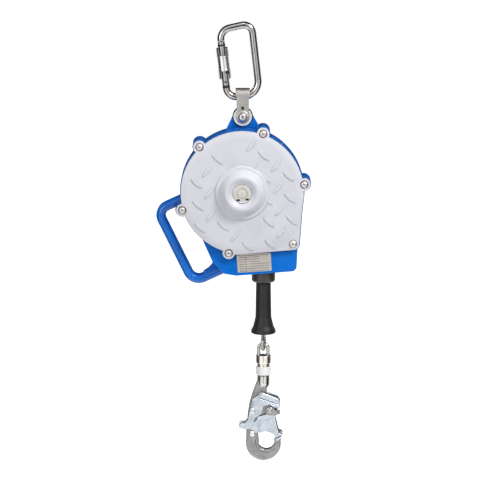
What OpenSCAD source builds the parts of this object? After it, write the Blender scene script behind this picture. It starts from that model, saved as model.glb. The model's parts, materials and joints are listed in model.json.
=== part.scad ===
// Self retracting lifeline: a fall arrest block that hangs from a carabiner, with a
// spring wound drum of steel wire rope and a swivel snap hook on the rope's end.
// Millimetres, +Z up, front cover towards -Y. The origin is the bearing point at the
// top of the carabiner's inside, which the whole block hangs from.

/* [Carabiner] */
// Diameter of the carabiner's steel rod
rod_d = 10.5; // [9:0.5:11.5]
// Distance between the centre lines of the spine and the gate
carabiner_w = 47; // [44:1:54]
// Height of the carabiner below the top bend's centre
carabiner_h = 92.5; // [88:0.5:104]
// Centre line radius of the top bend
top_bend_r = 13; // [12:0.5:15]
// Centre line radius of the bottom bend, where the strap hangs
bottom_bend_r = 22; // [20:0.5:24]
// Slope of the top bar, in degrees
top_slope = 6; // [4:1:10]
// Lean of the hanging carabiner, in degrees
carabiner_tilt = 6.5; // [4:0.5:8]
// Diameter of the twist sleeve on the gate
sleeve_d = 17.5; // [16:0.5:20]
// Bare rod between the gate's nose joint and the twist sleeve
sleeve_gap = 9.4; // [7:0.2:12]
// Swing of the carabiner's gate, in degrees
gate_swing = 25; // [15:1:30]

/* [Anchor strap] */
// Width of the bent strap
strap_w = 17.6; // [16:0.2:19]
// Thickness of the bent strap
strap_t = 3.5; // [2.5:0.25:4]
// Height of the pivot bolt below the carabiner's bottom bar
pivot_drop = 31; // [28:0.5:40]
// Place of the strap along the bottom bar
strap_x = -1.5; // [-3:0.5:0]
// Diameter of the pivot bolt's shank
bolt_d = 9; // [8:0.5:10]

/* [Housing] */
// Width of the cover's rim outside the drum's flanges
rim_w = 9.5; // [8:0.5:12]
// Wall thickness of the casting
case_wall = 5; // [3:0.5:5.5]
// Lip of the casting that shows round the cover
case_lip = 1.4; // [0.8:0.2:3]
// Thickness of the cover at its rim
cover_t = 10; // [8:0.5:12]
// Height of the hub boss above the cover's face
boss_h = 15; // [12:0.5:20]
// Thickness of the hanging lug
lug_t = 11; // [9:0.5:12]
// Lean of the hanging housing, in degrees
housing_tilt = 4.5; // [2:0.5:6]
// Width of the handle's bar
handle_w = 14; // [10:0.5:16]
// Depth of the handle's bar
handle_d = 22; // [16:1:26]

/* [Drum] */
// Radius of the drum's core
core_r = 35; // [30:1:40]
// Radius of the drum's flanges
flange_r = 80; // [77:0.5:84]
// Width of the rope pack between the flanges
pack_w = 23; // [21:0.5:25]
// Height of the drum's flanges above the wound rope
flange_rise = 8; // [6:0.5:14]
// Diameter of the fixed main shaft
shaft_d = 16; // [14:0.5:20]
// Width of the power spring's strip
spring_w = 18; // [15:0.5:22]

/* [Lifeline] */
// Diameter of the wire rope
rope_d = 5; // [4:0.5:5.5]
// Place of the rope's fall beside the pivot bolt
line_x = 29; // [24:0.5:32]
// Diameter of the grip's tube
grip_d = 23.5; // [20:0.5:25]
// Diameter of the grip's flare
flare_d = 36.8; // [32:0.2:40]
// Length of the grip
grip_len = 77; // [65:1:90]

/* [Snap hook] */
// Thickness of the forged hook
hook_t = 13; // [11:0.5:15]
// Thickness of the gate's and lock's sheet
sheet_t = 1.6; // [1.2:0.1:1.8]
// Diameter of the swivel's collar
collar_d = 22.8; // [21:0.2:24]
// Diameter of the hook's barrel
barrel_d = 18; // [16:0.2:19]

/* [Hidden] */
$fn = 64;

// Clearances and small sizes
eps = 0.05;          // overrun of a cut past the face that it opens
run_fit = 0.05;      // radial clearance of a running fit
gap = 0.3;           // clearance between faces that move past each other
seat = 0.2;          // clearance of a static piece in its pocket

// Carabiner, worked out from the centre of the top bend
rod_r = rod_d / 2;
gate_x = top_bend_r - carabiner_w;
top_corner = [top_bend_r, top_bend_r * tan((90 + top_slope) / 2)];
nose_corner = [gate_x, top_corner[1] - carabiner_w * tan(top_slope)];
heel_rise = 4;
spine_foot = [top_bend_r, -carabiner_h];
heel_foot = [gate_x, -carabiner_h + heel_rise];
nose_r = 16;
nose_gap = 1.2;
heel_r = 14;
nose_z = nose_corner[1] - nose_r * tan((90 - top_slope) / 2) - 1.5;
heel_turn = 90 - atan(heel_rise / carabiner_w);
gate_pivot_z = heel_rise - carabiner_h + heel_r * tan(heel_turn / 2) + rod_r + 4;
tongue_t = 4;
foot_turn = 90 + atan(heel_rise / carabiner_w);
foot_centre = [top_bend_r - bottom_bend_r, bottom_bend_r * tan(foot_turn / 2) - carabiner_h];
bearing_z = top_bend_r - rod_r;
bar_z = -bearing_z + foot_centre[0] * sin(carabiner_tilt)
        + foot_centre[1] * cos(carabiner_tilt) - bottom_bend_r;
sleeve_z = nose_z - sleeve_gap;
sleeve_len = sleeve_z - gate_pivot_z - rod_r + 0.65;
window_w = 9.5;
window_h = 12;

// Anchor strap and pivot
washer_t = 1.5;
strap_gap = lug_t / 2 + washer_t + seat;
bend_in = bottom_bend_r - rod_r;
fold_w = strap_w + 3;
strap_rise = bend_in - sqrt(bend_in * bend_in - fold_w * fold_w / 4);
fold_z = bar_z + rod_r + strap_rise + gap - strap_gap;
pivot_z = fold_z - pivot_drop;
bolt_r = bolt_d / 2;
head_r = 6.4;
head_h = 5;
bush_r = 8;

// Housing, in its own frame: the hub is the origin and the block's base is level
cover_r = flange_r + rim_w;
lug_at = [9.2, cover_r + 18.3];
lug_r = 14;
hub = [strap_x - lug_at[0] * cos(housing_tilt) + lug_at[1] * sin(housing_tilt),
       pivot_z - lug_at[0] * sin(housing_tilt) - lug_at[1] * cos(housing_tilt)];
seam_y = -26;
cover_wall = 4;
cover_y = seam_y - cover_t;
cover_in_y = cover_y + cover_wall;
boss_y = cover_y - boss_h;
boss_base_r = 39;
boss_ring_r = 26;
recess_r = 14;
case_r = cover_r + case_lip;
cavity_r = case_r - case_wall - 1;
screw_angles = [128.5, 66, 3, -107, -168];
screw_ring = cover_r + 1.5;
corner_screw = [cover_r - 21.5, -cover_r + 8.5];
screw_at = concat([for (a = screw_angles) screw_ring * [cos(a), sin(a)]], [corner_screw]);
screw_ear_r = 9;
screw_d = 5;
screw_head_r = 5.6;
screw_reach = 15;
gasket_t = 1;

// Lower block and its rope pocket
block_base = -cover_r - 33;
block_right = cover_r - 15.5;
cover_base = -cover_r - 0.3;
pocket_half = 11;

// Carry handle: the bar's centre line, in the housing's frame
handle_y = 5;
handle_path = [[-cover_r + 5.5, -5], [-cover_r - 37, -20.5], [-cover_r + 7, block_base - 8.5],
               [-cover_r + 53.5, block_base + 8.5]];
handle_radii = [15, 17];
gusset_path = [[-cover_r + 40, block_base + 26], [-cover_r + 38.5, block_base + 20],
               [-cover_r + 36, block_base + 15], [-cover_r + 31, block_base + 10.5],
               [-cover_r + 23, block_base + 6], [-cover_r + 22, block_base + 3],
               [-cover_r + 53.5, block_base + 8.5], [-cover_r + 53.5, block_base + 26]];

// Ratchet ring between its linings, the clamp that squeezes them, and the pawls
teeth = 12;
lining_t = 1.5;
ring_t = 7;
ring_out = flange_r - 10;
ring_root = ring_out - 8;
ring_in = ring_root - 6;
ring_y0 = cover_in_y + lining_t;
ring_y1 = ring_y0 + ring_t;
clamp_t = 2;
clamp_y = ring_y1 + lining_t;
clamp_out = flange_r - 1;
clamp_screw_at = flange_r - 5;
clamp_screw_r = 1.5;
clamp_head_h = 1;
clamp_thread = 2.5;
pawl_at = ring_in - 12;
pawl_y0 = ring_y0 + 0.5;
pawl_y1 = ring_y1 - 0.5;
pawl_tip = [26, 3.5];
pawl_r = 6;
pawl_pin_r = 2.5;
pawl_swing = 10;

// Drum group behind the clamp: drum, rope, and the power spring in its case
flange_t = 2.5;
drum_y0 = clamp_y + clamp_t + clamp_head_h + 0.5;
pack_y0 = drum_y0 + flange_t;
pack_r = flange_r - flange_rise;
drum_y1 = pack_y0 + pack_w + flange_t;
rope_y = pack_y0 + pack_w / 2;
shaft_r = shaft_d / 2;
bush_t = 3;
drum_bore = shaft_r + bush_t;
lead_r = pack_r + rope_d / 2 + gap;
case_y0 = drum_y1;
case_floor = 3;
case_lid = 1.5;
spring_r = flange_r - 10;
case_y1 = case_y0 + case_floor + spring_w + 2;
back_y = case_y1 + 2.5 + case_wall;
ear_y = back_y - 16;
drum_turn = 300;

// Rope's fall
line_y = rope_y;
nozzle_d = 34.6;
nozzle_bore = rope_d + 5;
exit_r = 12;
lead_bend_r = 8;
nozzle_end = hub[1] + block_base - 13;
nozzle_top = nozzle_end + 20;
grip_top = nozzle_end - gap;
grip_end = grip_top - grip_len;
eye_tip = grip_end - 26.5;
rope_r = rope_d / 2;
ferrule_r = 6.5;
ferrule_top = grip_end + 27;
ferrule_end = grip_end + 1;
loop_r = 8;
loop_z = eye_tip + rope_r + loop_r;
eye_turn = 75;
thimble_t = 1.2;
thimble_w = 6;
bend_z = nozzle_end + 5;
bend_from_hub = [line_x - hub[0], bend_z - hub[1]];
tangent_angle = atan2(bend_from_hub[1], bend_from_hub[0]) + acos(lead_r / norm(bend_from_hub));
tangent = hub + lead_r * [cos(tangent_angle), sin(tangent_angle)];
pull = drum_turn * PI / 180 * lead_r;

// Swivel and hook, measured down from the rope eye's tip
bow_t = 5;
bow_w = 18.6;
bow_r = bow_t / 2;
bow_x = bow_w / 2 - bow_r;
disc_r = collar_d / 2 - 1.6;
bow_top = eye_tip + rope_d + thimble_t + bow_t + 2 * gap + 0.2;
collar_top = bow_top - 18;
collar_h = 11.5;
step_h = 5.5;
band_h = 13.3;
band_top = collar_top - collar_h - step_h;
barrel_top = band_top - band_h;
barrel_h = 20;
stem_r = 5;

// Snap hook, in its own frame: the origin is the barrel's top on the line's axis
hook_half = hook_t / 2;
gate_y = hook_half + seat;
lock_y = gate_y + sheet_t + seat;
gate_at = [9.9, -52.4];
lock_at = [-16.4, -51.9];
stop_at = [-16.4, -87.1];
bowl_at = [0.2, -101.8];
bowl_r = 25.9;
throat_at = [4.6, -98.6];
throat_r = 12.6;
rivet_r = 2.5;
rivet_head_r = 4.2;
rivet_head_h = 1.6;
spring_pocket = 2.5;
hook_gate_swing = 30;
hook_lock_swing = 8;

// --- Shapes that repeat ---

// A flat outline in X and Z, extruded from y0 back to y1
module slab(y0, y1) {
  translate([0, y1, 0]) rotate([90, 0, 0]) linear_extrude(y1 - y0) children();
}

// A revolve about Y: the outline's X is the radius and its Y is the depth
module lathe_y() {
  rotate([-90, 0, 0]) rotate_extrude() children();
}

// A round rod along Y from y0 to y1, at a place [x, z]
module rod_y(at, r, y0, y1) {
  translate([at[0], y0, at[1]]) rotate([-90, 0, 0]) cylinder(r = r, h = y1 - y0);
}

// A tube along Z between two heights
module tube(r_out, r_in, z0, z1) {
  translate([0, 0, z0]) difference() {
    cylinder(r = r_out, h = z1 - z0);
    translate([0, 0, -1]) cylinder(r = r_in, h = z1 - z0 + 2);
  }
}

// A ring about Y between two depths
module ring_y(r_out, r_in, y0, y1) {
  difference() {
    rod_y([0, 0], r_out, y0, y1);
    rod_y([0, 0], r_in, y0 - 1, y1 + 1);
  }
}

// An outline with its corners rounded, outer and inner ones alike
module soft(r) {
  offset(r, $fn = 24) offset(-2 * r, $fn = 24) offset(r, $fn = 24) children();
}

function heading(a, b) = atan2(b[1] - a[1], b[0] - a[0]);
function wrap(a) = a > 180 ? a - 360 : a < -180 ? a + 360 : a;
function turn_at(p, i) = wrap(heading(p[i], p[i + 1]) - heading(p[i - 1], p[i]));
function trim_at(p, r, i) =
  i == 0 || i == len(p) - 1 ? 0 : r[i - 1] * tan(abs(turn_at(p, i)) / 2);

// A bar with the section children(), along a flat path whose corners are bends.
// The path lies in X and Z; each inner point has a bend radius in radii. A straight
// run laps a little into its bends, with a section that is $ease smaller all round.
lap = 0.1;
$ease = 0;
module bar(path, radii) {
  last = len(path) - 2;
  rotate([90, 0, 0]) for (i = [0:last]) {
    a = heading(path[i], path[i + 1]);
    t0 = trim_at(path, radii, i) - (i > 0 ? lap : 0);
    t1 = trim_at(path, radii, i + 1) - (i < last ? lap : 0);
    run = norm(path[i + 1] - path[i]) - t0 - t1;
    start = path[i] + t0 * [cos(a), sin(a)];
    if (run > 2 * lap + eps) translate(start) rotate([0, 0, a]) rotate([90, 0, 90])
      linear_extrude(run) let ($ease = 0.01) children();
    if (i > 0) {
      before = heading(path[i - 1], path[i]);
      bend = turn_at(path, i);
      side = sign(bend);
      corner = path[i] - trim_at(path, radii, i) * [cos(before), sin(before)];
      centre = corner + side * radii[i - 1] * [-sin(before), cos(before)];
      first = side > 0 ? before - 90 : before + 90 + bend;
      translate(centre) rotate([0, 0, first]) rotate_extrude(angle = abs(bend))
        translate([radii[i - 1], 0]) children();
    }
  }
}

module round_section(r) {
  circle(r = r - $ease, $fn = 32);
}

// The frames that pieces are built in
module in_carabiner() {
  translate([0, 0, -bearing_z]) rotate([0, -carabiner_tilt, 0]) children();
}

module in_housing() {
  translate([hub[0], 0, hub[1]]) rotate([0, -housing_tilt, 0]) children();
}

module on_line() {
  translate([line_x, line_y, 0]) children();
}

module in_hook() {
  translate([line_x, line_y, barrel_top]) children();
}

// --- Carabiner ---

gate_pivot = [gate_x, gate_pivot_z];
pin_r = 2;
fork_r = rod_r;

module gate_tongue(lift) {
  slab(-tongue_t / 2 + lift, tongue_t / 2 - lift) translate(gate_pivot) union() {
    circle(r = fork_r - gap, $fn = 32);
    translate([-rod_r, -10]) square([2 * rod_r, 10]);
  }
}

module carabiner_body() {
  color("silver") in_carabiner() difference() {
    union() {
      bar([[gate_x, nose_z], nose_corner, top_corner, spine_foot, heel_foot,
           [gate_x, gate_pivot_z - fork_r - 1]],
          [nose_r, top_bend_r, bottom_bend_r, heel_r]) round_section(rod_r);
      intersection() {
        gate_tongue(0);
        translate([gate_x, 0, gate_pivot_z - 10]) cylinder(r = rod_r, h = 20);
      }
      translate([gate_x - 2.2, -tongue_t / 2 + 0.4, nose_z - 5]) cube([4.4, tongue_t - 0.8, 6]);
    }
    rod_y(gate_pivot, pin_r, -rod_r - 1, rod_r + 1);
  }
}

module carabiner_gate_pin() {
  color("dimgray") in_carabiner() rod_y(gate_pivot, pin_r, -rod_r + 0.6, rod_r - 0.6);
}

module carabiner_gate() {
  color("silver") in_carabiner() difference() {
    union() {
      translate([gate_x, 0, gate_pivot_z])
        cylinder(r = rod_r, h = nose_z - gate_pivot_z - nose_gap);
      intersection() {
        rod_y(gate_pivot, fork_r, -rod_r, rod_r);
        translate([gate_x, 0, gate_pivot_z - 10]) cylinder(r = rod_r, h = 20);
      }
    }
    slab(-tongue_t / 2 - seat, tongue_t / 2 + seat) translate(gate_pivot) union() {
      circle(r = fork_r + gap, $fn = 32);
      translate([-rod_r - 1, -12]) square([2 * rod_r + 2, 12]);
    }
    translate([gate_x - rod_r - 1, -tongue_t / 2 + seat, nose_z - 6])
      cube([rod_r + 4, tongue_t - 2 * seat, 7]);
    rod_y(gate_pivot, pin_r + run_fit, -rod_r - 1, rod_r + 1);
  }
}

module sleeve_window(z0) {
  translate([gate_x - window_w / 2, -sleeve_d, z0]) cube([window_w, sleeve_d, window_h + 1]);
}

module carabiner_sleeve() {
  r = sleeve_d / 2;
  lip = 1.2;
  groove = 0.4;
  low = window_h + 2;
  high = sleeve_len - low;
  color("gainsboro") in_carabiner() difference() {
    translate([gate_x, 0, sleeve_z - sleeve_len]) rotate_extrude() polygon([
      [rod_r + run_fit, 0], [r - lip, 0], [r, lip], [r, low], [r - groove, low + groove],
      [r - groove, high - groove], [r, high], [r, sleeve_len - lip], [r - lip, sleeve_len],
      [rod_r + run_fit, sleeve_len]]);
    sleeve_window(sleeve_z - window_h);
    sleeve_window(sleeve_z - sleeve_len - 1);
  }
}

// --- Anchor strap and pivot ---

module anchor_strap() {
  r_in = strap_gap;
  r_out = strap_gap + strap_t;
  color("silver") difference() {
    translate([strap_x, 0, 0]) intersection() {
      translate([-fold_w / 2, 0, 0]) rotate([90, 0, 90]) linear_extrude(fold_w)
        difference() {
          union() {
            translate([0, fold_z]) circle(r = r_out);
            translate([-r_out, pivot_z - strap_w]) square([2 * r_out, fold_z - pivot_z + strap_w]);
          }
          translate([0, fold_z]) circle(r = r_in);
          translate([-r_in, pivot_z - strap_w - 1])
            square([2 * r_in, fold_z - pivot_z + strap_w + 1]);
        }
      union() {
        rod_y([0, pivot_z], strap_w / 2, -r_out - 1, r_out + 1);
        slab(-r_out - 1, r_out + 1) polygon([
          [-strap_w / 2, pivot_z], [strap_w / 2, pivot_z], [strap_w / 2, fold_z - 2],
          [fold_w / 2, fold_z], [fold_w / 2, fold_z + r_out + 1], [-fold_w / 2, fold_z + r_out + 1],
          [-fold_w / 2, fold_z], [-strap_w / 2, fold_z - 2]]);
      }
    }
    rod_y([strap_x, pivot_z], bolt_r, -r_out - 1, r_out + 1);
    translate([strap_x - 1.5, -r_out - 1, pivot_z + 12]) cube([3, strap_t + 2, 3]);
  }
}

module pivot_bolt() {
  y0 = -strap_gap - strap_t;
  color("silver") difference() {
    union() {
      rod_y([strap_x, pivot_z], bolt_r, y0 - 1, -y0 + 8);
      translate([strap_x, y0, pivot_z]) lathe_y() polygon([
        [0, -head_h], [head_r - 1.5, -head_h], [head_r, -head_h + 1.5], [head_r, 0], [0, 0]]);
    }
    translate([strap_x, y0 - head_h - 1, pivot_z]) rotate([-90, 0, 0])
      cylinder(r = 3.4, h = 4, $fn = 6);
  }
}

module pivot_nut() {
  y1 = strap_gap + strap_t;
  color("silver") difference() {
    translate([strap_x, y1, pivot_z]) rotate([-90, 0, 0]) union() {
      cylinder(r = 8, h = 6, $fn = 6);
      cylinder(r = 6.4, h = 7.5);
    }
    rod_y([strap_x, pivot_z], bolt_r, y1 - 1, y1 + 9);
  }
}

module lug_bushes() {
  color("lightgray") in_housing() for (side = [-1, 1]) translate([lug_at[0], 0, lug_at[1]])
    mirror([0, side > 0 ? 1 : 0, 0]) lathe_y() polygon([
      [bolt_r + run_fit, -lug_t / 2 - washer_t], [13.4, -lug_t / 2 - washer_t],
      [13.4, -lug_t / 2], [bush_r, -lug_t / 2], [bush_r, -eps], [bolt_r + run_fit, -eps]]);
}

// --- Housing ---

// The cover's outline as a plate from y0 back to y1, grown by g all round
module cover_slab(y0, y1, g) {
  rod_y([0, 0], cover_r + g, y0, y1, $fn = 128);
  slab(y0, y1) polygon([
    [0, 0], [cover_r + g - 0.3, -2], [corner_screw[0] + screw_ear_r + g, corner_screw[1]],
    [corner_screw[0], corner_screw[1] - screw_ear_r - g], [screw_at[3][0], cover_base - g]]);
  for (p = screw_at) rod_y(p, screw_ear_r + g, y0, y1);
}

// Outline of the block below the cover, which the line leaves through
module block_outline() {
  offset(7, $fn = 32) offset(-7, $fn = 32) polygon([
    [0, 0], [-cover_r + 23.5, -58], [-cover_r + 37.5, block_base + 24.5],
    [-cover_r + 52.5, block_base + 4.5], [-cover_r + 71.5, block_base],
    [block_right - 8, block_base], [block_right - 3.5, block_base + 4], [block_right + 4, -60]]);
}

// Half section of the round bowl, with its back edge rounded
module bowl_profile() {
  corner = 12;
  draft = 1.5;
  r1 = case_r - draft;
  polygon(concat([[0, seam_y + gasket_t], [case_r, seam_y + gasket_t], [r1, back_y - corner]],
    [for (a = [15:15:90]) [r1 - corner + corner * cos(a), back_y - corner + corner * sin(a)]],
    [[0, back_y]]));
}

module main_housing() {
  face = seam_y + gasket_t;
  back_hub_r = 26;
  rib_rise = 4;
  rib_w = 5;
  gusset_t = handle_d - 6;
  color("royalblue") difference() {
    in_housing() difference() {
      union() {
        lathe_y($fn = 128) bowl_profile();
        cover_slab(face, ear_y, case_lip);
        slab(face, ear_y + 4) block_outline();
        slab(ear_y + 3.9, ear_y + 8) offset(-3, $fn = 32) block_outline();
        for (p = screw_at) translate([p[0], ear_y - lap, p[1]]) rotate([-90, 0, 0])
          cylinder(r1 = screw_ear_r + case_lip, r2 = screw_ear_r - 3, h = 5);
        rod_y(lug_at, lug_r, -lug_t / 2, lug_t / 2);
        slab(-lug_t / 2, lug_t / 2) polygon([
          [lug_at[0] - lug_r + 0.6, lug_at[1] + 4], [-17, cover_r], [-17, cover_r - 9],
          [33, cover_r - 9], [33, cover_r], [lug_at[0] + lug_r - 0.4, lug_at[1] + 3]]);
        translate([0, handle_y, 0]) bar(handle_path, handle_radii) handle_section();
        slab(handle_y - gusset_t / 2, handle_y + gusset_t / 2) polygon(gusset_path);
        rod_y([0, 0], back_hub_r, back_y - 1, back_y + rib_rise);
        for (a = [30:60:330]) rotate([0, a, 0]) translate([back_hub_r - 2, back_y - 2, -rib_w / 2])
          cube([case_r - back_hub_r - 14, rib_rise, rib_w]);
      }
      rod_y([0, 0], cavity_r, seam_y - 1, back_y - case_wall);
      slab(rope_y - pocket_half, rope_y + pocket_half) polygon([
        [14, -60], [block_right - 8, -50], [block_right - 12, block_base + 22.5],
        [block_right - 26, block_base + 10.5], [14, block_base + 10.5]]);
      rod_y(lug_at, bush_r, -lug_t, lug_t);
      rod_y([0, 0], shaft_r - 2, back_y - 10, back_y + 6);
      rod_y([0, 0], 13, back_y - 1, back_y + 6);
      for (p = screw_at) rod_y(p, screw_d / 2, seam_y - 1, face + screw_reach);
    }
    translate([line_x, line_y, nozzle_end - 2])
      cylinder(r = nozzle_d / 2, h = nozzle_top - nozzle_end + 2);
    translate([line_x, line_y, nozzle_end]) cylinder(r1 = exit_r, r2 = exit_r + 5, h = 30);
  }
}

module handle_section() {
  r = handle_w / 2;
  offset(r - $ease) square([0.02, handle_d - handle_w], center = true);
}

module lens(l, w) {
  r = (l * l + w * w) / (4 * w);
  intersection() {
    translate([0, r - w / 2]) circle(r = r, $fn = 96);
    translate([0, w / 2 - r]) circle(r = r, $fn = 96);
  }
}

// Raised bars of the tread pattern, both ways in turn, kept off the hub, the rim and two bare pads
tread_l = 21;
tread_w = 5;
tread_rise = 1.2;
cover_drop = 4;
tread_pitch = [33.5, 32.5];
tread_from = [2, -13];
tread_clear = [[-6, 57], [6, -52]];
tread_pad = 14;
tread_rim = 4.5;
tread_spots = [for (i = [-3:3], j = [-3:3], way = [0, 1])
  let (p = tread_from + [tread_pitch[0] * (i + way / 2), tread_pitch[1] * (j + way / 2)],
       turn = way == 0 ? -45 : 45,
       half = tread_l / 2 * [cos(turn), sin(turn)],
       pad = min([for (c = tread_clear) norm([(p[0] - c[0]) / 1.6, p[1] - c[1]])]),
       corner = p[0] > 0 && p[0] < block_right - 4 && p[1] < 0 && p[1] > cover_base + tread_l / 2
                && norm(p - corner_screw) > tread_l)
  if (norm(p) > boss_base_r - 1.5 && pad > tread_pad
      && (max(norm(p + half), norm(p - half)) < cover_r - tread_rim || corner))
    [p, turn]];

// The cover's domed face, brought forward by rise
module cover_dome(rise) {
  top = cover_y - rise;
  lathe_y($fn = 128) polygon([
    [0, seam_y], [1.5 * cover_r, seam_y], [1.5 * cover_r, top + cover_drop + 2],
    [cover_r + 7.5, top + cover_drop], [cover_r - 0.5, top + 1.6], [cover_r - 5.5, top + 0.4],
    [cover_r - 9.5, top], [0, top]]);
}

module front_cover() {
  color("gainsboro") in_housing() difference() {
    union() {
      intersection() {
        cover_slab(cover_y, seam_y, 0);
        cover_dome(0);
      }
      lathe_y($fn = 96) polygon([
        [0, cover_y + 1], [boss_base_r + 1, cover_y + 0.5], [boss_base_r, cover_y - 1.8],
        [boss_base_r - 1, cover_y - 2.6], [boss_base_r - 4.5, cover_y - 3],
        [boss_base_r - 6, cover_y - 3.8], [boss_ring_r + 4.5, boss_y + 5.5],
        [boss_ring_r + 1.5, boss_y + 2.5], [boss_ring_r - 1, boss_y + 0.4],
        [boss_ring_r - 3, boss_y], [boss_ring_r - 5.5, boss_y + 0.6], [recess_r, boss_y + 5],
        [recess_r, boss_y + 8], [0, boss_y + 8]]);
      intersection() {
        union() for (s = tread_spots) slab(cover_y - tread_rise - 1, cover_y + cover_wall - 1)
          translate(s[0]) rotate(s[1]) lens(tread_l, tread_w);
        cover_dome(tread_rise);
      }
    }
    lathe_y($fn = 96) polygon([
      [0, seam_y + 1], [cavity_r - 2, seam_y + 1], [cavity_r - 2, cover_in_y],
      [24, cover_in_y], [18, boss_y + 12], [0, boss_y + 12]]);
    rod_y([0, 0], shaft_r, boss_y - 1, seam_y);
    for (p = screw_at) {
      rod_y(p, screw_d / 2, cover_y - 1, seam_y + 1);
      rod_y(p, screw_head_r + 0.6, cover_y - 1, cover_y + cover_drop + 1);
    }
    for (a = [0:60:300]) rotate([0, a, 0])
      rod_y([clamp_screw_at, 0], clamp_screw_r, cover_in_y - clamp_thread, seam_y);
  }
}

module cover_gasket() {
  color("black") in_housing() difference() {
    cover_slab(seam_y, seam_y + gasket_t, -0.3);
    rod_y([0, 0], cavity_r, seam_y - 1, seam_y + 2);
    for (p = screw_at) rod_y(p, screw_d / 2, seam_y - 1, seam_y + 2);
  }
}

module cover_screws() {
  seat_y = cover_y + 5;
  color("silver") in_housing() for (p = screw_at) difference() {
    union() {
      rod_y(p, screw_d / 2, seat_y, seam_y + gasket_t + screw_reach - 1);
      translate([p[0], seat_y, p[1]]) lathe_y() polygon([
        [0, -3.6], [2.6, -3.4], [4.4, -2.4], [screw_head_r, -0.8], [screw_head_r, 0], [0, 0]]);
    }
    translate([p[0], seat_y - 4, p[1]]) rotate([-90, 0, 0]) cylinder(r = 2, h = 2.4, $fn = 6);
  }
}

module hub_plug() {
  y0 = boss_y + 4.5;
  color("beige") in_housing() lathe_y() polygon([
    [0, y0 + 0.8], [5.4, y0 + 0.8], [6, y0 + 0.2], [8.5, y0 + 0.2], [9.2, y0 + 1], [11.5, y0 + 1],
    [12.4, y0], [recess_r - 0.1, y0 + 0.6], [recess_r - 0.1, boss_y + 8], [0, boss_y + 8]]);
}

// --- Shaft and brake ---

module main_shaft() {
  color("silver") in_housing() difference() {
    union() {
      rod_y([0, 0], shaft_r, boss_y + 8, back_y - case_wall);
      rod_y([0, 0], shaft_r - 2, back_y - case_wall - 1, back_y + 5);
    }
    translate([-0.6, case_y0 + case_floor, -shaft_r - 1]) cube([1.2, spring_w + 1, shaft_r]);
  }
}

module shaft_nut() {
  color("silver") in_housing() difference() {
    translate([0, back_y - 1, 0]) rotate([-90, 0, 0]) cylinder(r = 11.5, h = 5, $fn = 6);
    rod_y([0, 0], shaft_r - 2, back_y - 2, back_y + 6);
  }
}

module ratchet_ring() {
  pitch = 360 / teeth;
  color("dimgray") in_housing() slab(ring_y0, ring_y1) difference() {
    circle(r = ring_out, $fn = 96);
    polygon([for (k = [0:teeth - 1], s = [0, 1])
      let (a = (k + s) * pitch - s * 0.6, r = s == 0 ? ring_root : ring_in) r * [cos(a), sin(a)]]);
  }
}

module brake_linings() {
  color("saddlebrown") in_housing() union() {
    ring_y(ring_out, ring_root + 1, cover_in_y, ring_y0);
    ring_y(ring_out, ring_root + 1, ring_y1, ring_y1 + lining_t);
  }
}

module clamp_ring() {
  color("gray") in_housing() difference() {
    ring_y(clamp_out, ring_root + 1, clamp_y, clamp_y + clamp_t);
    for (a = [0:60:300]) rotate([0, a, 0])
      rod_y([clamp_screw_at, 0], clamp_screw_r, clamp_y - 1, clamp_y + clamp_t + 1);
  }
}

module clamp_screws() {
  head_y = clamp_y + clamp_t;
  color("silver") in_housing() for (a = [0:60:300]) rotate([0, a, 0]) union() {
    rod_y([clamp_screw_at, 0], clamp_screw_r, cover_in_y - clamp_thread, head_y);
    rod_y([clamp_screw_at, 0], clamp_screw_r + 1.3, head_y, head_y + clamp_head_h);
  }
}

// --- Rope exit ---

module rope_nozzle() {
  r = nozzle_d / 2;
  color("dimgray") on_line() rotate_extrude() polygon([
    [nozzle_bore / 2 + 1, nozzle_end], [r - 2.5, nozzle_end], [r, nozzle_end + 2.5],
    [r, nozzle_top], [12.5, nozzle_top], [8.5, nozzle_end + 12], [nozzle_bore / 2, nozzle_end + 5],
    [nozzle_bore / 2, nozzle_end + 2]]);
}

module rope_lead() {
  color("lightgray") translate([0, rope_y, 0])
    bar([tangent, [line_x, bend_z], [line_x, nozzle_end]], [lead_bend_r]) round_section(rope_r);
}

// --- Drum ---

module drum() {
  web_y = drum_y0 + flange_t + 3;
  color("lightsteelblue") in_housing() difference() {
    lathe_y($fn = 96) polygon([
      [drum_bore, drum_y0], [flange_r, drum_y0], [flange_r, drum_y0 + flange_t],
      [core_r, drum_y0 + flange_t], [core_r, drum_y1 - flange_t], [flange_r, drum_y1 - flange_t],
      [flange_r, drum_y1], [core_r - 4, drum_y1], [core_r - 4, web_y], [drum_bore + 4, web_y],
      [drum_bore + 4, drum_y1], [drum_bore, drum_y1]]);
    for (a = [30:60:330]) rotate([0, a, 0]) rod_y([23, 0], 5, drum_y0 - 1, web_y + 1);
    for (side = [-1, 1]) rod_y([0, side * pawl_at], pawl_pin_r, drum_y0 - 1, drum_y0 + flange_t + 1);
  }
}

module drum_bushes() {
  l = 9;
  color("goldenrod") in_housing() union() {
    ring_y(drum_bore, shaft_r + run_fit, drum_y0, drum_y0 + l);
    ring_y(drum_bore, shaft_r + run_fit, drum_y1 - l, drum_y1);
  }
}

// Wound rope, scalloped by its turns
module rope_coil() {
  turns = floor(pack_w / rope_d);
  w = pack_w / turns;
  color("lightgray") in_housing() lathe_y($fn = 96) polygon(concat(
    [[core_r, pack_y0]],
    [for (k = [0:turns - 1], s = [0:4])
      [pack_r - rope_r + rope_r * sin(30 + s * 30), pack_y0 + (k + 0.5 - cos(30 + s * 30) / 2) * w]],
    [[core_r, pack_y0 + pack_w]]));
}

module spring_case() {
  color("gray") in_housing() lathe_y($fn = 96) polygon([
    [drum_bore + 0.5, case_y0], [spring_r + case_floor, case_y0],
    [spring_r + case_floor, case_y1 - case_lid], [spring_r, case_y1 - case_lid],
    [spring_r, case_y0 + case_floor], [drum_bore + 0.5, case_y0 + case_floor]]);
}

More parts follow.
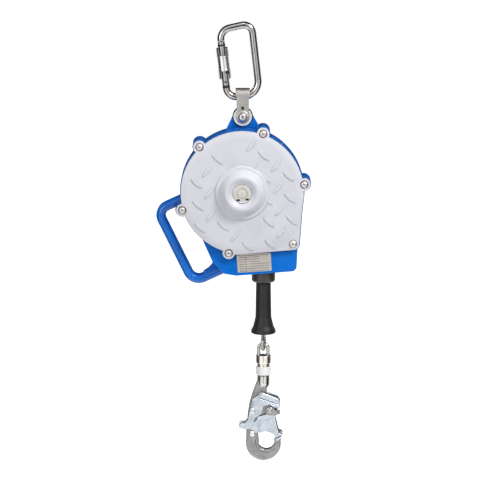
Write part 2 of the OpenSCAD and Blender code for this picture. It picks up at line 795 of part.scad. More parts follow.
module spring_case_lid() {
  color("darkgray") in_housing()
    ring_y(spring_r + case_floor, shaft_r + 1.5, case_y1 - case_lid, case_y1);
}

// Flat strip wound from the shaft's slot out to the case's wall
module power_spring() {
  turns = 8;
  step = 15;
  t = 0.8;
  r0 = shaft_r + 4;
  function spiral(a, side) =
    (r0 + (spring_r - 1 - r0) * a / (360 * turns) + side * t / 2) * [cos(a), sin(a)];
  y0 = case_y0 + case_floor + 0.25;
  color("steelblue") in_housing() slab(y0, y0 + spring_w) polygon(concat(
    [for (a = [0:step:360 * turns]) spiral(a, 1)],
    [for (a = [360 * turns:-step:0]) spiral(a, -1)]));
}

module pawl_pins() {
  color("silver") in_housing() for (side = [-1, 1]) union() {
    rod_y([0, side * pawl_at], pawl_pin_r, pawl_y0 - 0.4, drum_y0 + flange_t);
    rod_y([0, side * pawl_at], pawl_pin_r + 1.5, pawl_y1 + 0.3, drum_y0);
  }
}

module pawl() {
  difference() {
    union() {
      rod_y([0, pawl_at], pawl_r, pawl_y0, pawl_y1);
      slab(pawl_y0, pawl_y1) translate([0, pawl_at]) polygon([
        [-1, 5], [pawl_tip[0] - 2, pawl_tip[1] + 1.5], pawl_tip, [pawl_tip[0] - 3, -2.5],
        [10, -7.5], [1, -5], [-4, -4], [-13, 1], [-12, 4.5]]);
    }
    rod_y([0, pawl_at], pawl_pin_r + run_fit, pawl_y0 - 1, pawl_y1 + 1);
  }
}

module pawl_a() {
  color("darkgoldenrod") in_housing() pawl();
}

module pawl_b() {
  color("darkgoldenrod") in_housing() rotate([0, 180, 0]) pawl();
}

module pawl_springs() {
  color("silver") in_housing() for (side = [-1, 1])
    translate([0, 0, side * pawl_at]) ring_y(pawl_r, pawl_pin_r + 1.6, pawl_y1 + 0.5, drum_y0 - 0.5);
}

// --- Lifeline ---

module rope_line() {
  color("lightgray") on_line()
    translate([0, 0, ferrule_top]) cylinder(r = rope_r, h = nozzle_end - ferrule_top);
}

module rope_grip() {
  r = grip_d / 2;
  flare = flare_d / 2;
  color("black") on_line() rotate_extrude() polygon([
    [rope_r + 0.4, grip_top], [rope_r + 0.4, ferrule_top + gap], [ferrule_r, ferrule_top],
    [ferrule_r, grip_end + 2], [ferrule_r + 2, grip_end], [flare - 3, grip_end],
    [flare - 0.8, grip_end + 1], [flare, grip_end + 3.4], [flare - 0.6, grip_end + 6],
    [flare - 3.4, grip_end + 11.5], [r + 1.4, grip_end + 19], [r, grip_end + 25],
    [r - 0.9, grip_top - 1.5], [r - 2.2, grip_top]]);
}

module rope_ferrule() {
  color("silver") on_line() rotate_extrude() polygon([
    [0, ferrule_end], [ferrule_r - 1, ferrule_end], [ferrule_r, ferrule_end + 1],
    [ferrule_r, ferrule_top - 0.5], [0, ferrule_top - 0.5]]);
}

// The rope's end loop, seen nearly edge-on from the front
module rope_eye() {
  leg = 3.6;
  color("lightgray") on_line() rotate([0, 0, eye_turn])
    bar([[-leg, ferrule_end], [-leg, ferrule_end - 4], [-loop_r, loop_z + 5],
         [-loop_r, loop_z - loop_r], [loop_r, loop_z - loop_r], [loop_r, loop_z + 5],
         [leg, ferrule_end - 4], [leg, ferrule_end]],
        [4, 8, loop_r, loop_r, 8, 4]) round_section(rope_r - eps);
}

module thimble() {
  r = loop_r - rope_r - thimble_t / 2;
  path = [[-r, loop_z + 2], [-r, loop_z - r], [r, loop_z - r], [r, loop_z + 2]];
  color("silver") on_line() rotate([0, 0, eye_turn]) bar(path, [r, r])
    square([thimble_t - 2 * $ease, thimble_w - 2 * $ease], center = true);
}

// --- Swivel ---

module swivel_eye() {
  bow_bar_z = bow_top - bow_r;
  color("silver") on_line() union() {
    bar([[-bow_x, collar_top - 1], [-bow_x, bow_bar_z], [bow_x, bow_bar_z],
         [bow_x, collar_top - 1]], [4, 4]) round_section(bow_r);
    translate([0, 0, collar_top - 6]) cylinder(r = disc_r, h = 5.5);
    translate([0, 0, barrel_top - 12]) cylinder(r = stem_r, h = collar_top - barrel_top + 7);
  }
}

module swivel_collar() {
  r = collar_d / 2;
  base = band_top;
  neck = band_top + step_h;
  color("rosybrown") on_line() rotate_extrude() polygon([
    [stem_r, base], [r - 1.9, base], [r - 1.9, neck - 1], [r - 0.4, neck], [r, neck + 1.5],
    [r, collar_top - 1.5], [r - 0.6, collar_top], [disc_r, collar_top], [disc_r, collar_top - 6],
    [stem_r, collar_top - 6]]);
}

module indicator_band() {
  r = collar_d / 2 - 0.4;
  color("white") on_line() rotate_extrude() polygon([
    [stem_r, barrel_top + 1], [r - 0.6, barrel_top + 1], [r, barrel_top + 1.6],
    [r, band_top - 0.6], [r - 0.6, band_top], [stem_r, band_top]]);
}

module swivel_washer() {
  color("goldenrod") on_line() tube(barrel_d / 2 - 0.5, stem_r + run_fit, barrel_top, barrel_top + 1 - gap);
}

// --- Snap hook ---

module hook_outline() {
  soft(1.5) union() {
    polygon([[-8, -6], [-11, -13], [-16.5, -28], [-20.5, -42], [-23, -58], [-25.3, -82],
             [-25.6, -102], [-6, -102], [-7.5, -88], [-8.5, -74], [-5, -60], [2, -57], [12, -57],
             [14, -48], [9, -38], [5, -28], [6, -6]]);
    difference() {
      translate(bowl_at) circle(r = bowl_r, $fn = 96);
      translate([-30, -96]) square([70, 40]);
      translate(throat_at) circle(r = throat_r);
    }
    polygon([[15.5, -99], [25.9, -99], [27.5, -88], [27.8, -84], [25, -82.5], [22.4, -84.5],
             [20.5, -90]]);
  }
  translate(gate_at) circle(r = 6.2);
}

module hook_body() {
  r = barrel_d / 2;
  bevel = 1.6;
  color("darkgray") in_hook() difference() {
    union() {
      slab(-hook_half + bevel, hook_half - bevel) hook_outline();
      slab(-hook_half, hook_half) offset(-bevel) hook_outline();
      rotate_extrude() polygon([[0, -barrel_h], [r - 5, -barrel_h + 0.6], [r - 2, -barrel_h + 2.4],
        [r - 0.5, -barrel_h + 5], [r, -barrel_h + 8], [r, -1], [r - 1, 0], [0, 0]]);
    }
    translate([0, 0, -12 - gap]) cylinder(r = stem_r + run_fit, h = 14);
    for (p = [gate_at, lock_at, stop_at]) rod_y(p, rivet_r, -hook_t, hook_t);
    rod_y(gate_at, 7, -spring_pocket, spring_pocket);
    rod_y(lock_at, 5.5, -spring_pocket, spring_pocket);
  }
}

// A rivet across the hook, its heads outside y
module rivet(at, y) {
  color("silver") in_hook() union() {
    rod_y(at, rivet_r - run_fit, -y, y);
    for (side = [-1, 1]) translate([at[0], side * y, at[1]])
      mirror([0, side > 0 ? 0 : 1, 0]) lathe_y() polygon([
        [0, 0], [rivet_head_r, 0], [rivet_head_r, 0.5], [rivet_head_r - 1.4, rivet_head_h],
        [0, rivet_head_h]]);
  }
}

module gate_rivet() {
  rivet(gate_at, gate_y + sheet_t + seat);
}

module lock_rivet() {
  rivet(lock_at, lock_y + sheet_t + seat);
}

module spring_rivet() {
  rivet(stop_at, hook_half);
}

module gate_plate() {
  difference() {
    union() {
      translate(gate_at) circle(r = 7);
      polygon([[4, -58], [-8, -61], [-9.3, -66], [-14.3, -69.6], [-19, -69], [-19.4, -80.6],
               [-13.4, -82.2], [-12, -85.2], [-5, -85.4], [2.8, -83.4],
               [12.2, -86], [18, -90.4], [22.6, -84], [20.4, -78], [18.2, -62], [16, -56]]);
      polygon([[9, -46], [17, -51], [25.3, -54.4], [16, -59], [8, -59]]);
    }
    translate(gate_at) circle(r = rivet_r);
  }
}

module hook_gate() {
  color("lightsteelblue") in_hook() union() {
    for (side = [-1, 1]) mirror([0, side > 0 ? 0 : 1, 0]) slab(gate_y, gate_y + sheet_t) gate_plate();
    slab(-gate_y - eps, gate_y + eps)
      polygon([[16.6, -62], [18.2, -62], [20.4, -78], [20.6, -82], [19, -82.6], [18.6, -78]]);
  }
}

module lock_plate() {
  difference() {
    soft(0.8) polygon([[-8, -29], [-4.5, -24.6], [22, -33.6], [25.5, -38.5], [22.5, -49], [16, -46.5],
      [8, -42], [0, -45], [-3, -57], [-12, -62], [-15.5, -70], [-19.5, -79], [-30, -80],
      [-35, -76.5], [-34, -72], [-27, -70.5], [-22.5, -66], [-20.8, -55], [-15.9, -34]]);
    translate(gate_at) circle(r = 6.4);
    translate(lock_at) circle(r = rivet_r);
  }
}

module hook_lock() {
  color("lightsteelblue") in_hook() union() {
    for (side = [-1, 1]) mirror([0, side > 0 ? 0 : 1, 0]) slab(lock_y, lock_y + sheet_t) lock_plate();
    slab(-lock_y - eps, lock_y + eps)
      polygon([[10, -29.6], [22, -33.6], [25, -38.2], [23.6, -38.6], [21.2, -35], [10.5, -31.3]]);
    slab(-lock_y - eps, lock_y + eps) polygon([[-34.5, -73], [-33, -73], [-31, -79], [-33, -78]]);
  }
}

module hook_gate_spring() {
  color("silver") in_hook() translate([gate_at[0], 0, gate_at[1]]) ring_y(5.5, 3.5, -2, 2);
}

module hook_lock_spring() {
  color("silver") in_hook() translate([lock_at[0], 0, lock_at[1]]) ring_y(4.8, 3.2, -2, 2);
}

carabiner_body();
carabiner_gate_pin();
carabiner_gate();
carabiner_sleeve();
anchor_strap();
pivot_bolt();
pivot_nut();
main_housing();
lug_bushes();
front_cover();
cover_gasket();
cover_screws();
hub_plug();
main_shaft();
shaft_nut();
ratchet_ring();
brake_linings();
clamp_ring();
clamp_screws();
rope_nozzle();
rope_lead();
drum();
drum_bushes();
rope_coil();
spring_case();
spring_case_lid();
power_spring();
pawl_pins();
pawl_a();
pawl_b();
pawl_springs();
rope_line();
rope_grip();
rope_ferrule();
rope_eye();
thimble();
swivel_eye();
swivel_collar();
indicator_band();
swivel_washer();
hook_body();
gate_rivet();
lock_rivet();
spring_rivet();
hook_gate();
hook_gate_spring();
hook_lock();
hook_lock_spring();
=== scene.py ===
"""Self retracting lifeline: finishes, laid wire rope, pressed hook trim, small fastener trim, studio."""
import json
import math

import bmesh
import bpy
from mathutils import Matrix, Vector


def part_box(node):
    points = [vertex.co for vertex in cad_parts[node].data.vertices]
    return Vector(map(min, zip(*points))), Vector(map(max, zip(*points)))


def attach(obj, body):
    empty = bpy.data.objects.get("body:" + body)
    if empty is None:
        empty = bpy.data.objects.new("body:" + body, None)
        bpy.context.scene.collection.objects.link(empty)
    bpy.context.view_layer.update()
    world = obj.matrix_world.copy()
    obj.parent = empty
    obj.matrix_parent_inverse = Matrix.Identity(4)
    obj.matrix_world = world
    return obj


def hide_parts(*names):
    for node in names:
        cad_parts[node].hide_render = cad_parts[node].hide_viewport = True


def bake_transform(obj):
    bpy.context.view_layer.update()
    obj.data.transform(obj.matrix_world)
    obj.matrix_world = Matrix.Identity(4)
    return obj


MM = 0.001

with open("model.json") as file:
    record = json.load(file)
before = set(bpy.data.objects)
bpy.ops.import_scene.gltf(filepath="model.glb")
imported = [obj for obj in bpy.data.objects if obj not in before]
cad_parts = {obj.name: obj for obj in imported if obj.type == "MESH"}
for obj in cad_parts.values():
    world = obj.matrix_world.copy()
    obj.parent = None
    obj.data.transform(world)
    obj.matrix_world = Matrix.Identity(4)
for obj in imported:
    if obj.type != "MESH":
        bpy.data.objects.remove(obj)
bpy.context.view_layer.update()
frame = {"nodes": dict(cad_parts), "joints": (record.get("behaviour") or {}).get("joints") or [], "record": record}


# ---------------------------------------------------------------- camera

ELEVATION = math.radians(8.5)
LENS = 200.0
VIEW_WIDTH = 0.713
AIM = Vector((-0.0018, 0.0, -0.3142))


def place_camera():
    data = bpy.data.cameras.new("camera")
    data.lens = LENS
    camera = bpy.data.objects.new("camera", data)
    bpy.context.scene.collection.objects.link(camera)
    distance = VIEW_WIDTH / 2 / (data.sensor_width / 2 / LENS)
    back = Vector((0, -math.cos(ELEVATION), math.sin(ELEVATION)))
    camera.location = AIM + back * distance
    camera.rotation_euler = (math.pi / 2 - ELEVATION, 0, 0)
    data.clip_start, data.clip_end = 0.05, 50
    bpy.context.scene.camera = camera


place_camera()


# ---------------------------------------------------------------- node helpers

class Tree:
    """A small hand for wiring shader nodes."""

    def __init__(self, material):
        material.use_nodes = True
        self.tree = material.node_tree
        self.tree.nodes.clear()
        self.output = self.add("ShaderNodeOutputMaterial")

    def add(self, kind, inputs=None, **settings):
        node = self.tree.nodes.new(kind)
        for key, value in settings.items():
            setattr(node, key, value)
        for key, value in (inputs or {}).items():
            self.feed(node.inputs[key], value)
        return node

    def feed(self, socket, value):
        if isinstance(value, bpy.types.NodeSocket):
            self.tree.links.new(value, socket)
        else:
            socket.default_value = value

    def math(self, operation, a, b):
        node = self.add("ShaderNodeMath", operation=operation)
        self.feed(node.inputs[0], a)
        self.feed(node.inputs[1], b)
        return node.outputs[0]

    def noise(self, where, scale, detail=3.0, roughness=0.5, stretch=None):
        if stretch:
            where = self.add("ShaderNodeMapping", {"Vector": where, "Scale": stretch}).outputs[0]
        node = self.add("ShaderNodeTexNoise",
                        {"Vector": where, "Scale": scale, "Detail": detail, "Roughness": roughness})
        return node.outputs["Fac"]

    def ramp(self, value, low, high, out_low, out_high):
        node = self.add("ShaderNodeMapRange",
                        {"Value": value, "From Min": low, "From Max": high,
                         "To Min": out_low, "To Max": out_high})
        return node.outputs[0]

    def blend(self, factor, a, b):
        node = self.add("ShaderNodeMix", data_type="RGBA")
        self.feed(node.inputs["Factor"], factor)
        for name, value in (("A", a), ("B", b)):
            socket = [s for s in node.inputs if s.name == name and s.type == "RGBA"][0]
            self.feed(socket, value)
        return [s for s in node.outputs if s.type == "RGBA"][0]


def rgba(colour, k=1.0):
    return tuple(min(1.0, c * k) for c in colour) + (1.0,)


def coated(name, colour, roughness, metallic=0.0, shade=0.9, lift=1.04, patch=40.0, grain=2500.0,
           grain_depth=0.02, rough_spread=0.05, edge=0.0006, stretch=None, tint=None, wear_and_highlight=None,
           painted_shade=0.35, reach=0.006, **shader):
    """A surface with drifting colour, uneven gloss, a fine grain, edges lightened partly by rubbing and partly as
    painted highlight, and painted shade in corners.
    """
    material = bpy.data.materials.new(name)
    t = Tree(material)
    place = t.add("ShaderNodeTexCoord").outputs["Object"]
    drift = t.noise(place, patch, 4.0, 0.55)
    fine = t.noise(place, grain, 2.0, 0.6, stretch)
    colours = t.blend(t.ramp(drift, 0.3, 0.7, 0.0, 1.0), rgba(colour, shade), rgba(colour, lift))
    if tint:
        spots = t.noise(place, patch * 3.7, 5.0, 0.65)
        colours = t.blend(t.ramp(spots, 0.5, 0.72, 0.0, 0.6), colours, rgba(tint))
    rough = t.ramp(t.math("ADD", t.math("MULTIPLY", drift, 0.5), t.math("MULTIPLY", fine, 0.5)),
                   0.3, 0.7, roughness - rough_spread, roughness + rough_spread)
    bevel = t.add("ShaderNodeBevel", {"Radius": edge}, samples=4)
    # Worn edges and painted highlight: near the edges the colour lightens in noisy patches, partly from rubbing
    # and partly standing in for the highlight that edges catch.
    if wear_and_highlight:
        turned_off = t.add("ShaderNodeVectorMath", {
            0: bevel.outputs[0], 1: t.add("ShaderNodeNewGeometry").outputs["Normal"]},
            operation="DOT_PRODUCT").outputs["Value"]
        rubbed_and_lit = t.math("MULTIPLY", t.ramp(turned_off, 0.985, 0.88, 0.0, 1.0),
                        t.ramp(t.noise(place, 140.0, 5.0, 0.7), 0.42, 0.62, 0.1, 0.8))
        colours = t.blend(rubbed_and_lit, colours, rgba(wear_and_highlight))
    # Painted shade: ambient occlusion darkens the colour towards a fifth of itself in corners, creases and gaps
    # between parts.
    corner = t.add("ShaderNodeAmbientOcclusion", {"Distance": reach}, samples=6).outputs["AO"]
    colours = t.blend(t.ramp(corner, 0.35, 0.9, painted_shade, 0.0), colours, rgba(colour, 0.22))
    bump = t.add("ShaderNodeBump", {"Strength": 1.0, "Distance": grain_depth * MM, "Height": fine,
                                    "Normal": bevel.outputs[0]})
    shader_node = t.add("ShaderNodeBsdfPrincipled",
                        {"Base Color": colours, "Roughness": rough, "Metallic": metallic,
                         "Normal": bump.outputs[0], **shader})
    t.tree.links.new(shader_node.outputs[0], t.output.inputs["Surface"])
    return material


FINISH = {
    "blue_paint": lambda: coated("blue_enamel", (0.002, 0.175, 0.72), 0.17, patch=18, grain=900,
                                 grain_depth=0.03, edge=0.0016, shade=0.84, painted_shade=0.6,
                                 reach=0.012, wear_and_highlight=(0.10, 0.38, 0.85),
                                 **{"Specular IOR Level": 0.4}),
    "grey_paint": lambda: coated("satin_grey_casting", (0.695, 0.70, 0.755), 0.42, patch=25,
                                 grain=1500, grain_depth=0.05, edge=0.0008, shade=0.95, lift=1.02,
                                 wear_and_highlight=(0.82, 0.82, 0.83), painted_shade=0.18),
    "polished_steel": lambda: coated("polished_steel", (0.44, 0.43, 0.42), 0.13, 1.0, grain=1800,
                                     patch=60, stretch=(1, 1, 0.08), edge=0.0006),
    "satin_steel": lambda: coated("satin_stainless", (0.60, 0.58, 0.555), 0.30, 1.0, grain=2600,
                                  patch=70, stretch=(1, 1, 0.05), edge=0.0006),
    "strap_steel": lambda: coated("brushed_strap", (0.43, 0.415, 0.395), 0.44, 1.0, grain=2600,
                                  patch=70, stretch=(1, 1, 0.05), edge=0.0015, painted_shade=0.6,
                                  wear_and_highlight=(0.85, 0.84, 0.83)),
    "barrel_steel": lambda: coated("turned_barrel", (0.60, 0.585, 0.575), 0.26, 1.0, grain=2600,
                                   patch=50, stretch=(1, 1, 0.04), edge=0.0008, painted_shade=0.5),
    "sleeve_steel": lambda: coated("ground_sleeve", (0.74, 0.73, 0.72), 0.27, 1.0, grain=2400,
                                   patch=60, stretch=(1, 1, 0.05), edge=0.0007, painted_shade=0.55),
    "forged_steel": lambda: coated("forged_steel", (0.425, 0.415, 0.41), 0.36, 1.0, grain=1300,
                                   patch=90, grain_depth=0.07, edge=0.0014, shade=0.78,
                                   wear_and_highlight=(0.72, 0.71, 0.70)),
    "zinc_plate": lambda: coated("zinc_plating", (0.71, 0.775, 0.85), 0.38, 1.0, grain=1500,
                                 patch=120, edge=0.0009, tint=(0.56, 0.63, 0.73), shade=0.84,
                                 wear_and_highlight=(0.93, 0.94, 0.95)),
    "bright_zinc": lambda: coated("bright_zinc", (0.93, 0.94, 0.96), 0.4, 1.0, grain=1800,
                                  edge=0.0008, painted_shade=0.15),
    # Painted shade: a darker zinc for the lines drawn along the gate's creases.
    "shaded_crease_zinc": lambda: coated("shaded_zinc", (0.36, 0.41, 0.47), 0.45, 1.0, grain=1500, edge=0.0002),
    "screw_steel": lambda: coated("screw_steel", (0.66, 0.62, 0.60), 0.46, 1.0, edge=0.0007,
                                  painted_shade=0.2),
    # Painted shade: the added trim in this dark steel stands for shade lines along steps, slot openings, edges and
    # round the gate's rivet.
    "dark_steel": lambda: coated("dark_steel_and_painted_shade", (0.16, 0.16, 0.17), 0.4, 1.0, edge=0.0004),
    "drum_alloy": lambda: coated("machined_alloy", (0.62, 0.64, 0.66), 0.32, 1.0, edge=0.0004),
    "wire_rope": lambda: coated("wire_strands", (0.36, 0.35, 0.34), 0.36, 1.0, grain=3000,
                                grain_depth=0.04, edge=0.0001, shade=0.75),
    "bronze": lambda: coated("oiled_bronze", (0.62, 0.42, 0.2), 0.36, 1.0, edge=0.0004),
    "lining": lambda: coated("friction_lining", (0.22, 0.12, 0.08), 0.75, grain=900,
                             grain_depth=0.1, edge=0.0003, tint=(0.35, 0.25, 0.15)),
    "black_rubber": lambda: coated("black_rubber", (0.014, 0.014, 0.015), 0.5, grain=2200,
                                   patch=60, grain_depth=0.06, edge=0.0008, shade=0.8, lift=1.3,
                                   **{"Specular IOR Level": 0.35}),
    "nozzle_plastic": lambda: coated("dark_nylon", (0.045, 0.04, 0.037), 0.42, grain=1700,
                                     grain_depth=0.04, edge=0.0008),
    "nickel": lambda: coated("warm_nickel", (0.80, 0.745, 0.69), 0.30, 1.0, edge=0.0005, patch=80,
                             stretch=(1, 1, 0.05)),
    "white_band": lambda: coated("white_moulding", (0.97, 0.97, 0.985), 0.32, grain=1500,
                                 edge=0.0008, shade=0.98, lift=1.0, painted_shade=0.08),
    "cream_plug": lambda: coated("cream_plug", (0.70, 0.685, 0.63), 0.16, grain=600, edge=0.0006,
                                 **{"Coat Weight": 0.5, "Subsurface Weight": 0.25,
                                    "Subsurface Scale": 0.004}),
    "data_plate": lambda: coated("brushed_plate", (0.69, 0.65, 0.60), 0.34, 0.75, grain=1500,
                                 stretch=(0.05, 1, 1), patch=70, edge=0.0002),
    "plate_ink": lambda: coated("etched_rule", (0.10, 0.09, 0.085), 0.6, grain=2500, edge=0.0001),
}
# Pieces that share a slot in the record but leave the works with another surface
OWN_FINISH = {
    "anchor_strap": "strap_steel",
    "carabiner_sleeve": "sleeve_steel",
    "lug_bushes": "bright_zinc",
    "lock_rivet": "zinc_plate",
    "spring_rivet": "bright_zinc",
}
mixed = {}


def finish(slot):
    """The material of a slot, mixed the first time that it is asked for."""
    if slot not in mixed:
        mixed[slot] = FINISH[slot]()
    return mixed[slot]


def dress(obj, slot):
    obj.data.materials.clear()
    obj.data.materials.append(finish(slot))


def dress_nodes():
    for part in frame["record"]["subparts"]:
        node = part["node"]
        dress(frame["nodes"][node], OWN_FINISH.get(node, part["material_slot"]))


dress_nodes()


# ---------------------------------------------------------------- places

def middle(node):
    low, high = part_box(node)
    return (low + high) / 2


HANG = math.radians(4.5)
CARABINER_LEAN = math.radians(6.5)
HUB = middle("hub_plug")
WASHER = middle("swivel_washer")
BARREL_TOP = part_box("swivel_washer")[0].z


def on_casting(right, up, y):
    """A place in millimetres from the hub, along the housing as it hangs; y is the depth."""
    return Vector((HUB.x + (right * math.cos(HANG) - up * math.sin(HANG)) * MM, y * MM,
                   HUB.z + (right * math.sin(HANG) + up * math.cos(HANG)) * MM))


def on_hook(right, up, y):
    """A place in millimetres from the top of the hook's barrel; y counts from the line's axis."""
    return Vector((WASHER.x + right * MM, WASHER.y + y * MM, BARREL_TOP + up * MM))


def set_at(origin):
    """A function that gives places in millimetres from an origin; y is the depth."""
    return lambda right, up, y: origin + Vector((right * MM, y * MM, up * MM))


def front_of(node, x, z):
    """How far forward a CAD node's surface lies behind a point seen from the front."""
    hit, where, _, _ = frame["nodes"][node].ray_cast(Vector((x, -1, z)), Vector((0, 1, 0)))
    if not hit:
        raise ValueError(f"nothing of {node} lies at {x:.4f}, {z:.4f}")
    return where.y


# ---------------------------------------------------------------- making pieces

def meshed(name, *shapes):
    """One mesh from several shapes, each a function that adds its faces to a bmesh."""
    bm = bmesh.new()
    for shape in shapes:
        shape(bm)
    bmesh.ops.remove_doubles(bm, verts=bm.verts, dist=1e-7)
    bmesh.ops.recalc_face_normals(bm, faces=bm.faces)
    mesh = bpy.data.meshes.new(name)
    bm.to_mesh(mesh)
    bm.free()
    return mesh


def piece(name, slot, body, *shapes, swaps=(), smooth=None):
    obj = bpy.data.objects.new(name, meshed(name, *shapes))
    bpy.context.scene.collection.objects.link(obj)
    dress(obj, slot)
    if smooth:
        obj.data.shade_smooth()
        obj.data.set_sharp_from_angle(angle=math.radians(smooth))
    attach(obj, body)
    if swaps:
        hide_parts(*swaps)
    return obj


def plate(outline, place, y_back, y_front, soft=0.0):
    """A flat plate of that outline, with its front edge rounded over by soft."""
    def shape(bm):
        back = [bm.verts.new(place(r, u, y_back)) for r, u in outline]
        front = [bm.verts.new(place(r, u, y_front)) for r, u in outline]
        bm.faces.new(back)
        bm.faces.new(front[::-1])
        count = len(outline)
        for i in range(count):
            j = (i + 1) % count
            bm.faces.new((back[i], back[j], front[j], front[i]))
        if soft:
            rim = [e for e in {e for v in front for e in v.link_edges}
                   if all(v in front for v in e.verts)]
            bmesh.ops.bevel(bm, geom=rim, offset=soft * MM, segments=3, affect="EDGES")
    return shape


def turned(profile, centre, axis, steps=32):
    """A lathed shape: profile holds (radius, way along the axis) in millimetres."""
    axis = Vector(axis).normalized()
    side = axis.orthogonal().normalized()
    other = axis.cross(side)

    def shape(bm):
        rings = []
        for radius, along in profile:
            at = centre + axis * along * MM
            if radius <= 0:
                rings.append([bm.verts.new(at)])
                continue
            turns = (2 * math.pi * k / steps for k in range(steps))
            rings.append([bm.verts.new(at + (side * math.cos(a) + other * math.sin(a)) * radius * MM)
                          for a in turns])
        for one, two in zip(rings, rings[1:]):
            for k in range(steps):
                m = (k + 1) % steps
                corners = [one[k % len(one)], one[m % len(one)], two[m % len(two)], two[k % len(two)]]
                bm.faces.new(list(dict.fromkeys(corners)))
    return shape


def bar(path, radius, sides=12, flat=1.0):
    """A bar along a path of places; flat below one presses it against the y direction."""
    def shape(bm):
        rings = []
        lift = None
        for i, at in enumerate(path):
            ahead = (path[min(i + 1, len(path) - 1)] - path[max(i - 1, 0)]).normalized()
            if lift is None:
                lift = ahead.orthogonal().normalized()
            lift = (lift - ahead * lift.dot(ahead)).normalized()
            across = ahead.cross(lift)
            ring = []
            for k in range(sides):
                a = 2 * math.pi * k / sides
                off = (lift * math.cos(a) + across * math.sin(a)) * radius * MM
                off.y *= flat
                ring.append(bm.verts.new(at + off))
            rings.append(ring)
        for one, two in zip(rings, rings[1:]):
            for k in range(sides):
                m = (k + 1) % sides
                bm.faces.new((one[k], one[m], two[m], two[k]))
        bm.faces.new(rings[0])
        bm.faces.new(rings[-1])
    return shape


def arc(centre, radius, start, end, steps):
    """Points round a centre, from one angle to another, in degrees."""
    return [(centre[0] + radius * math.cos(math.radians(start + (end - start) * k / steps)),
             centre[1] + radius * math.sin(math.radians(start + (end - start) * k / steps)))
            for k in range(steps + 1)]


def rounded(points, radii, step=8):
    """An open path in a plane with its inner corners turned to arcs."""
    out = [points[0]]
    for before, at, after, radius in zip(points, points[1:], points[2:], radii):
        a = (Vector(before) - Vector(at)).normalized()
        b = (Vector(after) - Vector(at)).normalized()
        half = math.acos(max(-1, min(1, a.dot(b)))) / 2
        if radius <= 0 or half > math.pi / 2 - 0.01:
            out.append(at)
            continue
        reach = radius / math.tan(half)
        centre = Vector(at) + (a + b).normalized() * radius / math.sin(half)
        first, last = Vector(at) + a * reach, Vector(at) + b * reach
        u, v = first - centre, last - centre
        swing = math.atan2(u.x * v.y - u.y * v.x, u.dot(v))
        for k in range(step + 1):
            t = swing * k / step
            out.append((centre.x + u.x * math.cos(t) - u.y * math.sin(t),
                        centre.y + u.x * math.sin(t) + u.y * math.cos(t)))
    out.append(points[-1])
    return out


def box_outline(width, height, corner, centre=(0, 0)):
    """An upright rectangle with rounded corners."""
    w, h = width / 2 - corner, height / 2 - corner
    out = []
    for k, (sx, sy) in enumerate(((1, 1), (-1, 1), (-1, -1), (1, -1))):
        out += arc((centre[0] + sx * w, centre[1] + sy * h), corner, 90 * k, 90 * k + 90, 4)
    return out


# ---------------------------------------------------------------- wire rope

ROPE_RADIUS = 2.5
STRANDS = 6
LAY = 32.0
FALL_STEPS = 4000
DRAWN_STEP = 2.2 * MM


def strand_finish():
    """Steel wires twisted into a strand, from the strand's own way along and around."""
    material = bpy.data.materials.new("laid_wire")
    t = Tree(material)
    along = t.add("ShaderNodeAttribute", attribute_name="along").outputs["Fac"]
    around = t.add("ShaderNodeSeparateXYZ", {"Vector": t.add(
        "ShaderNodeAttribute", attribute_name="around").outputs["Vector"]})
    angle = t.math("ARCTAN2", around.outputs["Y"], around.outputs["X"])
    turn = t.math("ADD", t.math("MULTIPLY", angle, 7.0), t.math("MULTIPLY", along, 900.0))
    wires = t.math("ABSOLUTE", t.math("SINE", t.math("MULTIPLY", turn, 0.5), 0.0), 0.0)
    place = t.add("ShaderNodeTexCoord").outputs["Object"]
    drift = t.noise(place, 220.0, 4.0, 0.6)
    steel = t.blend(t.ramp(drift, 0.3, 0.7, 0.0, 1.0), (0.52, 0.51, 0.505, 1), (0.72, 0.71, 0.705, 1))
    # Painted shade: the colour darkens to near black in the grooves between the wires.
    colour = t.blend(t.ramp(wires, 0.0, 0.5, 0.7, 0.0), steel, (0.09, 0.085, 0.08, 1))
    bump = t.add("ShaderNodeBump", {"Strength": 1.0, "Distance": 0.12 * MM, "Height": wires})
    shader = t.add("ShaderNodeBsdfPrincipled",
                   {"Base Color": colour, "Metallic": 1.0, "Normal": bump.outputs[0],
                    "Roughness": t.ramp(drift, 0.3, 0.7, 0.26, 0.42)})
    t.tree.links.new(shader.outputs[0], t.output.inputs["Surface"])
    return material


